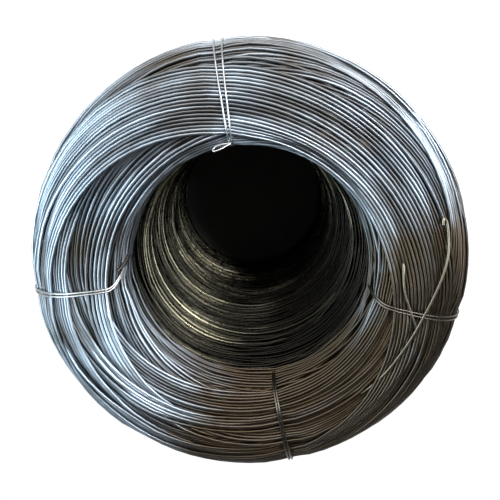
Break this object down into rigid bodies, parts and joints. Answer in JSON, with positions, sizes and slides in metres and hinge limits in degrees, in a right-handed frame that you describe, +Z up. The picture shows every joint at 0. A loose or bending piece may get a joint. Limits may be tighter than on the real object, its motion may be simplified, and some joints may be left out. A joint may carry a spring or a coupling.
{
  "type": "coil of binding wire",
  "caption": "Upright coil of drawn steel binding wire with rounded ends and a deep open bore, held by doubled tie wires round its wall.",
  "frame": {"origin": "centre of the bore, on the floor that the coil stands on", "axes": "+Z up along the bore; +X and +Y are the picture's right and up as the coil is seen from above"},
  "size_m": [0.43, 0.4299, 0.5],
  "materials": {
    "wire": "drawn, lightly oiled, blue-grey with some brown",
    "tie_wire": "drawn, bright grey"
  },
  "bodies": {
    "root": {"wire_coil": "wire", "tie_wire_back": "tie_wire", "tie_wire_left": "tie_wire", "tie_wire_front": "tie_wire", "tie_wire_right": "tie_wire"}
  },
  "joints": []
}
